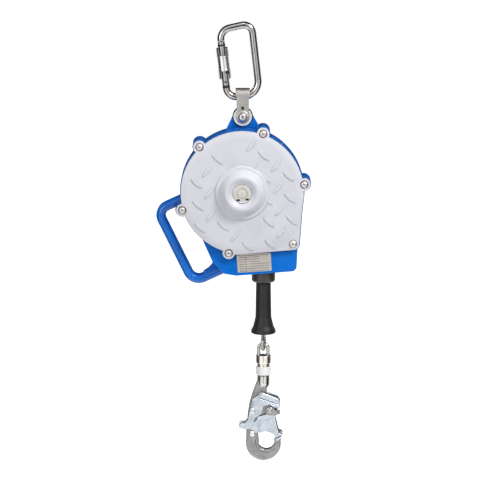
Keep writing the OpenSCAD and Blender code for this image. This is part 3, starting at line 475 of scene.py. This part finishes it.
def rope_tree():
    """Lays strands round a line; the lay opens out evenly once the line is drawn by Pull."""
    tree = bpy.data.node_groups.new("laid_rope", "GeometryNodeTree")
    face = tree.interface
    face.new_socket("Geometry", in_out="INPUT", socket_type="NodeSocketGeometry")
    for name in ("Radius", "Lay", "Pull", "Length"):
        face.new_socket(name, in_out="INPUT", socket_type="NodeSocketFloat")
    face.new_socket("Strands", in_out="INPUT", socket_type="NodeSocketInt")
    face.new_socket("Material", in_out="INPUT", socket_type="NodeSocketMaterial")
    face.new_socket("Geometry", in_out="OUTPUT", socket_type="NodeSocketGeometry")

    def add(kind, inputs=None, **settings):
        node = tree.nodes.new(kind)
        for key, value in settings.items():
            setattr(node, key, value)
        for key, value in (inputs or {}).items():
            if isinstance(value, bpy.types.NodeSocket):
                tree.links.new(value, node.inputs[key])
            else:
                node.inputs[key].default_value = value
        return node

    def sum_of(operation, a, b):
        return add("ShaderNodeMath", {0: a, 1: b}, operation=operation).outputs[0]

    def scaled(vector, amount):
        return add("ShaderNodeVectorMath", {0: vector, "Scale": amount}, operation="SCALE").outputs[0]

    given = add("NodeGroupInput").outputs
    line = add("GeometryNodeMeshToCurve", {"Mesh": given["Geometry"]}).outputs["Curve"]
    length = add("GeometryNodeSplineParameter").outputs["Length"]
    drawn = sum_of("ADD", length, add(
        "ShaderNodeMapRange", {"Value": length, "From Min": 0.0, "From Max": given["Length"],
                               "To Min": 0.0, "To Max": given["Pull"]},
        interpolation_type="SMOOTHSTEP").outputs[0])
    marked = add("GeometryNodeStoreNamedAttribute", {"Geometry": line, "Name": "along", "Value": drawn},
                 data_type="FLOAT", domain="POINT").outputs[0]
    copies = add("GeometryNodeDuplicateElements", {"Geometry": marked, "Amount": given["Strands"]},
                 domain="SPLINE")
    share = sum_of("DIVIDE", copies.outputs["Duplicate Index"], given["Strands"])
    turn = sum_of("MULTIPLY", sum_of("ADD", sum_of("DIVIDE", drawn, given["Lay"]), share), 2 * math.pi)
    tangent = add("GeometryNodeInputTangent").outputs[0]
    normal = add("GeometryNodeInputNormal").outputs["Normal"]
    beside = add("ShaderNodeVectorMath", {0: tangent, 1: normal}, operation="CROSS_PRODUCT").outputs[0]
    reach = sum_of("MULTIPLY", given["Radius"], 2 / 3)
    offset = scaled(add("ShaderNodeVectorMath", {
        0: scaled(normal, sum_of("COSINE", turn, 0.0)),
        1: scaled(beside, sum_of("SINE", turn, 0.0))}, operation="ADD").outputs[0], reach)
    strands = add("GeometryNodeSetPosition",
                  {"Geometry": copies.outputs["Geometry"], "Offset": offset}).outputs[0]
    ring = add("GeometryNodeCurvePrimitiveCircle",
               {"Resolution": 10, "Radius": sum_of("DIVIDE", given["Radius"], 3.0)}).outputs["Curve"]
    round_turn = sum_of("MULTIPLY", add("GeometryNodeSplineParameter").outputs["Factor"], 2 * math.pi)
    around = add("ShaderNodeCombineXYZ", {"X": sum_of("COSINE", round_turn, 0.0),
                                          "Y": sum_of("SINE", round_turn, 0.0)}).outputs[0]
    ring = add("GeometryNodeStoreNamedAttribute", {"Geometry": ring, "Name": "around", "Value": around},
               data_type="FLOAT_VECTOR", domain="POINT").outputs[0]
    join = add("GeometryNodeJoinGeometry")
    for curve in (strands, marked):
        made_mesh = add("GeometryNodeCurveToMesh",
                        {"Curve": curve, "Profile Curve": ring, "Fill Caps": True}).outputs["Mesh"]
        tree.links.new(made_mesh, join.inputs[0])
    smooth = add("GeometryNodeSetShadeSmooth", {"Geometry": join.outputs[0]}).outputs[0]
    real = add("GeometryNodeRealizeInstances", {"Geometry": smooth}).outputs[0]
    dressed = add("GeometryNodeSetMaterial", {"Geometry": real, "Material": given["Material"]}).outputs[0]
    tree.links.new(dressed, add("NodeGroupOutput").inputs[0])
    return tree


def laid_rope(name, line, tree, material, pull=0.0):
    """A rope along a line of places, made plain from the node tree."""
    mesh = bpy.data.meshes.new(name)
    mesh.from_pydata(line, [(i, i + 1) for i in range(len(line) - 1)], [])
    obj = bpy.data.objects.new(name + "_line", mesh)
    bpy.context.scene.collection.objects.link(obj)
    modifier = obj.modifiers.new("laid_rope", "NODES")
    modifier.node_group = tree
    length = sum((b - a).length for a, b in zip(line, line[1:]))
    values = {"Radius": ROPE_RADIUS * MM, "Lay": LAY * MM, "Pull": pull, "Length": length,
              "Strands": STRANDS, "Material": material}
    for item in tree.interface.items_tree:
        if item.in_out == "INPUT" and item.name in values:
            modifier[item.identifier] = values[item.name]
    graph = bpy.context.evaluated_depsgraph_get()
    plain = bpy.data.meshes.new_from_object(obj.evaluated_get(graph))
    bpy.data.objects.remove(obj)
    rope = bpy.data.objects.new(name, plain)
    bpy.context.scene.collection.objects.link(rope)
    return rope


def fall_heights(top, low, pull):
    """Heights down the fall, close together where the drawn line opens out the most."""
    rest, heights, next_mark = top - low, [], 0.0
    for k in range(FALL_STEPS + 1):
        t = k / FALL_STEPS
        if t * rest + pull * t * t * (3 - 2 * t) >= next_mark:
            heights.append(top - t * rest)
            next_mark += DRAWN_STEP
    heights[-1] = low
    return heights


def rope_fall(tree, material):
    """The straight fall, held by the housing above and drawn out by the line's end below."""
    low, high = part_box("rope_line")
    x, y = (low.x + high.x) / 2, (low.y + high.y) / 2
    pull = [j for j in frame["joints"] if j["name"] == "lifeline_pull"][0]["range_m"][1]
    places = [Vector((x, y, z)) for z in fall_heights(high.z, low.z, pull)]
    line = laid_rope("rope_fall", places, tree, material, pull=pull)
    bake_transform(line)
    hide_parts("rope_line")


def rope_end(tree, material):
    """The end loop, turned a little out of the hook's plane."""
    low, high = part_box("rope_eye")
    turn, loop, leg = math.radians(75), 8.0, 3.6
    tip = (low.z - BARREL_TOP) / MM + ROPE_RADIUS
    centre, top = tip + loop, (high.z - BARREL_TOP) / MM
    path = rounded([(-leg, top), (-leg, top - 4), (-loop, centre + 5), (-loop, tip), (loop, tip),
                    (loop, centre + 5), (leg, top - 4), (leg, top)], [4, 8, loop, loop, 8, 4], 10)
    places = [Vector((WASHER.x + a * math.cos(turn) * MM, WASHER.y + a * math.sin(turn) * MM,
                      BARREL_TOP + b * MM)) for a, b in path]
    strands = laid_rope("rope_eye_strands", places, tree, material)
    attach(strands, "lifeline")
    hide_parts("rope_eye")


def lifeline_rope():
    tree, material = rope_tree(), strand_finish()
    rope_fall(tree, material)
    rope_end(tree, material)


lifeline_rope()


# ---------------------------------------------------------------- hook details

GATE_PIVOT = (9.9, -52.4)
THROAT = (4.6, -98.6)
SHANK_FACE = -6.5
GATE_FACE = -8.3
LOCK_FACE = -10.1


def level(points, y, at):
    """The places of a run of points, all at one depth; at is one of the hook's faces."""
    return [at(x, z, y) for x, z in points]


def both_faces(make):
    """The same shapes on the hook's near and far faces."""
    return make(on_hook) + make(lambda right, up, y: on_hook(right, up, -y))


def folded_lock():
    """The lock's pressed hood: a raised cap with two beads, its curled nose and the rolled thumb end."""
    cap = rounded([(-6.2, -31.0), (-2.4, -23.8), (22.0, -33.2), (24.6, -39.6), (23.2, -41.6)],
                  [1.2, 1.4, 2.2, 1.5, 0.8], 5)
    nose = rounded([(17.2, -43.2), (24.9, -40.6), (24.6, -45.6), (21.6, -51.8), (19.8, -50.8),
                    (20.6, -46.4)], [1.0, 2.0, 4.0, 0.8, 0.8, 1.2], 5)
    beads = (([(-5.6, -34.0), (8.6, -38.6), (22.4, -43.9)], 0.95, 0.3),
             ([(-1.4, -37.2), (8.6, -40.9), (17.8, -44.6)], 0.7, 0.0),
             ([(-1.2, -25.8), (10.4, -30.0), (21.4, -34.4)], 0.55, 1.7))
    step_shades = (([(-5.8, -32.2), (8.6, -36.9), (22.8, -42.4)], 0.42),
             ([(-2.4, -35.9), (8.6, -39.7), (19.8, -44.3)], 0.36),
             ([(-14.6, -37.8), (-17.2, -45.8), (-19.6, -54.0)], 0.4))
    piece("lock_hood", "zinc_plate", "hook_lock", *both_faces(lambda at: [
        plate(cap, at, LOCK_FACE + 0.3, LOCK_FACE - 1.7, 0.7),
        plate(nose, at, LOCK_FACE + 0.3, LOCK_FACE - 1.1, 0.5)]
        + [bar(level(line, LOCK_FACE - proud, at), radius) for line, radius, proud in beads]), smooth=40)
    # Painted shade: dark lines along the steps of the pressed hood and one more further left.
    piece("lock_step_shades", "dark_steel", "hook_lock", *both_faces(lambda at: [
        bar(level(line, LOCK_FACE, at), radius, 8) for line, radius in step_shades]), smooth=60)
    piece("thumb_roll", "zinc_plate", "hook_lock",
          turned([(0, -9.2), (2.4, -9.3), (3.0, -10.3), (3.9, -10.3), (4.4, -9.8), (4.4, -7.2),
                  (2.5, -6.9), (2.5, 6.9), (4.4, 7.2), (4.4, 9.8), (3.9, 10.3), (3.0, 10.3), (2.4, 9.3),
                  (0, 9.2)], on_hook(-31.8, -75.0, 0), (0, 1, 0)), smooth=40)


def gate_trim():
    """What shows on the gate: its beaked rivet over a dark plate of painted shadow, its front edge drawn bright as
    a painted highlight with a dark line of painted shade beside it, and its creases as lines of painted shade.
    """
    beak = arc(GATE_PIVOT, 5.7, 40, 300, 18) + [(17.5, -57.2), (24.7, -56.1), (20.6, -53.4),
                                                (16.6, -49.8)]
    beak_shadow = arc(GATE_PIVOT, 6.7, 42, 296, 18) + [(17.0, -59.0), (26.0, -56.4), (21.0, -52.2),
                                                (17.4, -48.4)]
    # Painted shadow: a dark plate a little larger than the beak, which shows as a dark outline round it.
    piece("gate_beak_shadow", "dark_steel", "hook_gate", *both_faces(lambda at: [
        plate(beak_shadow, at, GATE_FACE + 0.3, GATE_FACE - 0.5, 0.2)]), smooth=40)
    piece("gate_beak", "satin_steel", "hook_gate", *both_faces(lambda at: [
        plate(beak, at, GATE_FACE - 0.3, GATE_FACE - 1.8, 0.7)]), smooth=40)
    dome = [(0, 1.3), (1.6, 1.2), (2.7, 0.7), (3.2, 0.1), (3.3, -0.3), (0, -0.3)]
    piece("gate_dome", "polished_steel", "hook_gate",
          *[turned(dome, on_hook(*GATE_PIVOT, side * (1.8 - GATE_FACE)), (0, side, 0))
            for side in (-1, 1)], smooth=40)
    creases = [[(-7.6, -70.4), (-7.9, -78.0), (-7.7, -86.0)],
               [(-4.6, -71.0), (-4.9, -78.0), (-4.7, -85.4)],
               [(-6.8, -68.4), (3.0, -66.4), (13.6, -62.6)]]
    # Painted shade: the creases are thin dark bars standing for the shade in the folds.
    piece("gate_creases", "shaded_crease_zinc", "hook_gate", *both_faces(lambda at: [
        bar(level(crease, GATE_FACE, at), 0.34, 8, 0.35) for crease in creases]), smooth=60)
    edge = [(15.6, -61.6), (17.6, -68.6), (19.6, -77.4), (21.6, -84.0)]
    # Painted highlight: the gate's front lip is pale bright zinc, to show as a white line.
    piece("gate_lip_highlight", "bright_zinc", "hook_gate", *both_faces(lambda at: [
        bar(level(edge, GATE_FACE - 0.3, at), 1.0)]), smooth=60)
    # Painted shade: a dark line beside the lip, as its outline.
    piece("gate_edge_shade", "dark_steel", "hook_gate", *both_faces(lambda at: [
        bar(level([(x + 1.4, z) for x, z in edge], GATE_FACE + 0.2, at), 0.5, 8)]), smooth=60)


def gate_end():
    """The gate's slotted, curled end, which closes on the hook's nose."""
    cheek = rounded([(19.6, -87.2), (17.0, -92.4), (17.8, -97.2), (21.6, -97.4), (25.6, -93.8),
                     (29.0, -89.6), (28.8, -84.6), (24.2, -83.4)], [1.2, 1.4, 2.2, 2, 3, 3, 2.2, 1.2], 5)
    curls = [[(22.4, -85.2), (24.8, -88.0), (27.0, -89.4), (28.2, -87.2)],
             [(17.8, -96.2), (21.4, -95.4), (25.0, -92.8), (27.4, -90.4)]]
    slot_shades = (([(17.9, -93.6), (21.6, -92.6), (25.6, -89.9)], 0.85),
             ([(23.4, -83.6), (25.6, -85.4), (26.8, -87.0)], 0.75))
    piece("gate_cheek", "zinc_plate", "hook_gate", *both_faces(lambda at: [
        plate(cheek, at, SHANK_FACE - 0.1, GATE_FACE - 0.2, 0.7)]
        + [bar(level(curl, GATE_FACE - 0.3, at), 0.9) for curl in curls]), smooth=40)
    # Painted shade: dark bars laid along the curl's slot openings.
    piece("gate_slot_shade", "dark_steel", "hook_gate", *both_faces(lambda at: [
        bar(level(slot, GATE_FACE - 0.2, at), radius, 8, 0.6) for slot, radius in slot_shades]), smooth=60)


def hook_skin():
    """The bowl's worn chamfer with a dark line of painted shade beside it, on both faces, and the bright skin of
    the swivel barrel.
    """
    worn, dark = arc(THROAT, 14.6, 186, 300, 30), arc(THROAT, 16.6, 170, 320, 36)
    piece("bowl_line", "forged_steel", "hook", *both_faces(lambda at: [
        bar(level(worn, SHANK_FACE, at), 0.8, 8, 0.6)]), smooth=60)
    # Painted shade: a dark arc drawn along the chamfer's outer edge.
    piece("bowl_edge_shade", "dark_steel", "hook", *both_faces(lambda at: [
        bar(level(dark, SHANK_FACE, at), 0.5, 8, 0.6)]), smooth=60)
    piece("barrel_skin", "barrel_steel", "hook",
          turned([(0, -20.4), (3.2, -20.2), (6.0, -18.8), (8.0, -16.2), (8.9, -13.4), (9.12, -10.5),
                  (9.12, -1.0), (8.1, 0.0), (0, 0.0)], on_hook(0, 0, 0), (0, 0, 1), 64), smooth=40)


folded_lock()
gate_trim()
gate_end()
hook_skin()


# ---------------------------------------------------------------- plates, plug and pins

def rating_plate():
    """A bare plate for hand-stamped data, ruled but unwritten, on four domed rivets."""
    width, height, at, lean = 50.0, 27.0, (9.3, -105.0), math.radians(-1.0)
    centre = on_casting(*at, 0)
    face = front_of("main_housing", centre.x, centre.z) / MM

    def place(right, up, y):
        return on_casting(at[0] + right * math.cos(lean) - up * math.sin(lean),
                          at[1] + right * math.sin(lean) + up * math.cos(lean), y)

    piece("rating_plate", "data_plate", "housing",
          plate(box_outline(width, height, 1.2), place, face + 0.2, face - 0.6, 0.2), smooth=40)
    left, right, short_right, pitch = -22.0, 21.5, 8.0, 3.4
    rules = []
    for k in range(7):
        end = short_right if k < 3 else right
        rules.append(box_outline(end - left, 0.6, 0.1, ((left + end) / 2, 8.6 - pitch * k)))
    rules.append(box_outline(45.6, 0.8, 0.1, (0, 11.0)))
    rules.append(box_outline(0.5, 24.0, 0.1, (-12.0, -0.6)))
    piece("rating_rules", "plate_ink", "housing",
          *[plate(rule, place, face - 0.5, face - 0.66) for rule in rules])
    rivets = [turned([(0, 0.9), (0.7, 0.8), (1.2, 0.4), (1.3, -0.3), (0, -0.3)],
                     place(sx * (width / 2 - 2.2), sz * (height / 2 - 2.2), face - 0.6), (0, -1, 0), 16)
              for sx in (-1, 1) for sz in (-1, 1)]
    piece("plate_rivets", "screw_steel", "housing", *rivets, smooth=50)


def hub_lens():
    """The hub's pale plug with its moulded groove, two notch marks of painted shade and a white lip of painted
    reflection below them.
    """
    low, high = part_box("hub_plug")
    rim = (high.x - low.x) / 2 / MM
    depth = (high.y - low.y) / MM
    face = Vector((HUB.x, low.y, HUB.z))
    piece("hub_lens", "cream_plug", "housing",
          turned([(0, 0.5), (5.6, 0.35), (6.3, 0.1), (6.7, -0.6), (7.3, -0.6), (7.8, 0.15), (10.5, 0.1),
                  (rim - 1.2, -0.2), (rim - 0.3, -0.8), (rim, -1.6), (rim, -depth), (0, -depth)],
                 face, (0, -1, 0), 72), swaps=["hub_plug"], smooth=35)
    front = face.y / MM
    # Painted shade: two black plates stand for the dark of two small recesses.
    notch_shades = [plate(box_outline(4.8, 3.0, 0.9, (side * 6.4, -8.6)), on_casting,
                     front + 0.6, front - 0.22, 0.1) for side in (-1, 1)]
    piece("plug_notch_shades", "black_rubber", "housing", *notch_shades)
    # Painted reflection: a white arc for the bright glint below the notch marks.
    lip = [on_casting(x, z, front - 0.5) for x, z in arc((0, 0), rim - 1.6, 244, 300, 14)]
    piece("plug_lip_glint", "white_band", "housing", bar(lip, 0.9, 10, 0.6), smooth=60)


def carabiner_marks():
    """Dark collars at the gate's two joints and the lock ball in the twist sleeve."""
    hinge = middle("carabiner_gate_pin")
    along = Vector((-math.sin(CARABINER_LEAN), 0, math.cos(CARABINER_LEAN)))
    across = Vector((math.cos(CARABINER_LEAN), 0, math.sin(CARABINER_LEAN)))
    radius, soft = 5.6, 0.4
    for name, body, low, high in (("nose_collar", "carabiner_gate", 52.4, 55.2),
                                  ("hinge_collar", "carabiner", -8.8, -5.9)):
        piece(name, "black_rubber", body,
              turned([(0, low), (radius - soft, low), (radius, low + soft), (radius, high - soft),
                      (radius - soft, high), (0, high)], hinge, along), smooth=40)
    ball_height, sleeve_radius = 14.0, 8.75
    out = (across * 5.0 + Vector((0, -7.2, 0))).normalized()
    seat = hinge + along * ball_height * MM + out * sleeve_radius * MM
    piece("sleeve_ball", "black_rubber", "carabiner_sleeve",
          turned([(0, 0.9), (1.2, 0.7), (2.0, 0.1), (2.1, -1.2), (0, -1.2)], seat, out, 20), smooth=50)


def bolt_trim():
    """The pivot bolt's washer and star washer, which turn with the block, and its socketed dome."""
    bolt = middle("pivot_bolt")
    head = Vector((bolt.x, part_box("pivot_bolt")[0].y, bolt.z))
    seat = Vector((bolt.x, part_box("anchor_strap")[0].y, bolt.z))
    piece("bolt_washer", "strap_steel", "housing",
          turned([(0, 0.4), (9.2, 0.4), (9.6, 0.1), (9.7, -0.3), (0, -0.3)], seat, (0, -1, 0), 64),
          smooth=40)
    tip, root, steps, per_tooth = 7.6, 6.4, 48, 4
    star = []
    for step in range(steps):
        reach = tip if step % per_tooth < per_tooth / 2 else root
        star.append((reach * math.cos(math.tau * step / steps), reach * math.sin(math.tau * step / steps)))
    piece("bolt_star", "forged_steel", "housing", plate(star, set_at(seat), 0.1, -1.0, 0.2), smooth=40)
    piece("bolt_dome", "sleeve_steel", "housing",
          turned([(0, 0.2), (1.9, 0.2), (2.3, 1.1), (3.4, 1.2), (4.6, 0.7), (5.0, -0.2), (0, -0.2)], head,
                 (0, -1, 0), 48), smooth=50)
    hexagon = arc((0, 0), 2.0, 30, 330, 5)
    piece("bolt_socket", "strap_steel", "housing", plate(hexagon, set_at(head), 0.0, -0.35))


def bush_shadow_rings():
    """A black ring round each bush's flange, half sunk in the lug: a painted shadow."""
    bolt = middle("pivot_bolt")
    near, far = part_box("lug_bushes")
    sunk = 1.0 * MM
    ring = [(13.1, 0.0), (13.3, 0.6), (13.9, 0.9), (14.5, 0.6), (14.7, 0.0), (14.5, -0.6), (13.9, -0.9),
            (13.3, -0.6), (13.1, 0.0)]
    piece("bush_shadow_ring", "black_rubber", "housing",
          turned(ring, Vector((bolt.x, near.y + sunk, bolt.z)), (0, -1, 0), 72),
          turned(ring, Vector((bolt.x, far.y - sunk, bolt.z)), (0, 1, 0), 72), smooth=60)


def slot_plug():
    """The dark plug that closes the slot above the strap's bolt."""
    bolt = middle("pivot_bolt")
    slot_height = 13.0
    seat = Vector((bolt.x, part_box("anchor_strap")[0].y, bolt.z + slot_height * MM))
    piece("slot_plug", "black_rubber", "anchor",
          plate(box_outline(4.0, 4.4, 0.6), set_at(seat), 1.5, -0.25, 0.2), smooth=40)


rating_plate()
hub_lens()
carabiner_marks()
bolt_trim()
bush_shadow_rings()
slot_plug()


# ---------------------------------------------------------------- studio

ROOM_LIGHT = 0.42
LAMP_AIM = Vector((0, 0, -0.3))


def lamp(name, place, size, power):
    data = bpy.data.lights.new(name, "AREA")
    data.shape = "DISK"
    data.size = size
    data.energy = power
    obj = bpy.data.objects.new(name, data)
    bpy.context.scene.collection.objects.link(obj)
    obj.location = place
    obj.rotation_euler = (LAMP_AIM - Vector(place)).to_track_quat("-Z", "Y").to_euler()


def white_room():
    """White to the camera and in reflections, softer as a light on the object."""
    world = bpy.data.worlds.new("studio")
    bpy.context.scene.world = world
    world.use_nodes = True
    nodes, links = world.node_tree.nodes, world.node_tree.links
    nodes.clear()
    path = nodes.new("ShaderNodeLightPath")
    seen = path.outputs["Is Camera Ray"]
    for ray in ("Is Glossy Ray", "Is Transmission Ray"):
        either = nodes.new("ShaderNodeMath")
        either.operation = "MAXIMUM"
        links.new(seen, either.inputs[0])
        links.new(path.outputs[ray], either.inputs[1])
        seen = either.outputs[0]
    strength = nodes.new("ShaderNodeMapRange")
    strength.inputs["To Min"].default_value = ROOM_LIGHT
    strength.inputs["To Max"].default_value = 1.0
    links.new(seen, strength.inputs["Value"])
    light = nodes.new("ShaderNodeBackground")
    light.inputs["Color"].default_value = (1, 1, 1, 1)
    links.new(strength.outputs[0], light.inputs["Strength"])
    out = nodes.new("ShaderNodeOutputWorld")
    links.new(light.outputs[0], out.inputs["Surface"])


def sheet_of(name, corners):
    mesh = bpy.data.meshes.new(name)
    mesh.from_pydata(corners, [], [tuple(range(len(corners)))])
    obj = bpy.data.objects.new(name, mesh)
    bpy.context.scene.collection.objects.link(obj)
    return obj


def pale_floor():
    size, height = 12.0, -1.5
    floor = sheet_of("floor", [(-size, -size, height), (size, -size, height),
                               (size, size, height), (-size, size, height)])
    material = bpy.data.materials.new("floor_white")
    t = Tree(material)
    path = t.add("ShaderNodeLightPath")
    seen = t.math("MAXIMUM", path.outputs["Is Camera Ray"], path.outputs["Is Glossy Ray"])
    paper = t.add("ShaderNodeBsdfDiffuse", {"Color": (0.9, 0.9, 0.9, 1)})
    glow = t.add("ShaderNodeEmission", {"Strength": 0.9})
    both = t.add("ShaderNodeAddShader")
    t.feed(both.inputs[0], paper.outputs[0])
    t.feed(both.inputs[1], glow.outputs[0])
    mix = t.add("ShaderNodeMixShader", {"Fac": seen})
    t.feed(mix.inputs[1], paper.outputs[0])
    t.feed(mix.inputs[2], both.outputs[0])
    t.tree.links.new(mix.outputs[0], t.output.inputs["Surface"])
    floor.data.materials.append(material)


def black_flags():
    """Dark cards out of the camera's sight, so that bright metal has something to show."""
    material = bpy.data.materials.new("flag_black")
    t = Tree(material)
    cloth = t.add("ShaderNodeBsdfDiffuse", {"Color": (0.03, 0.03, 0.032, 1)})
    t.tree.links.new(cloth.outputs[0], t.output.inputs["Surface"])

    def hang(name, corners):
        flag = sheet_of(name, corners)
        flag.data.materials.append(material)
        flag.visible_camera = False
        flag.visible_shadow = False
        flag.visible_diffuse = False

    low, high = -1.3, 0.7
    for name, (x0, y0), (x1, y1) in (("flag_left", (-0.55, 0.35), (-1.2, -0.75)),
                                     ("flag_right", (0.55, 0.35), (1.2, -0.75)),
                                     ("flag_back_left", (-0.75, 0.55), (-1.5, 1.2)),
                                     ("flag_back_right", (0.75, 0.55), (1.5, 1.2)),
                                     ("flag_front", (-0.16, -1.6), (0.16, -1.6))):
        hang(name, [(x0, y0, low), (x1, y1, low), (x1, y1, high), (x0, y0, high)])
    hang("flag_back", [(-0.9, 1.4, -1.2), (0.9, 1.4, -1.2), (0.9, 1.4, 1.0), (-0.9, 1.4, 1.0)])
    hang("flag_roof", [(-1.4, -0.35, 0.9), (1.4, -0.35, 0.9), (1.4, 1.6, 0.75), (-1.4, 1.6, 0.75)])


def light_studio():
    bpy.context.scene.view_settings.view_transform = "Standard"
    white_room()
    pale_floor()
    black_flags()
    lamp("key", (1.15, -1.1, 1.15), 0.6, 28)
    lamp("fill", (-1.2, -1.7, 0.2), 0.9, 9)
    lamp("top", (-0.1, -0.5, 1.5), 0.6, 5)


light_studio()
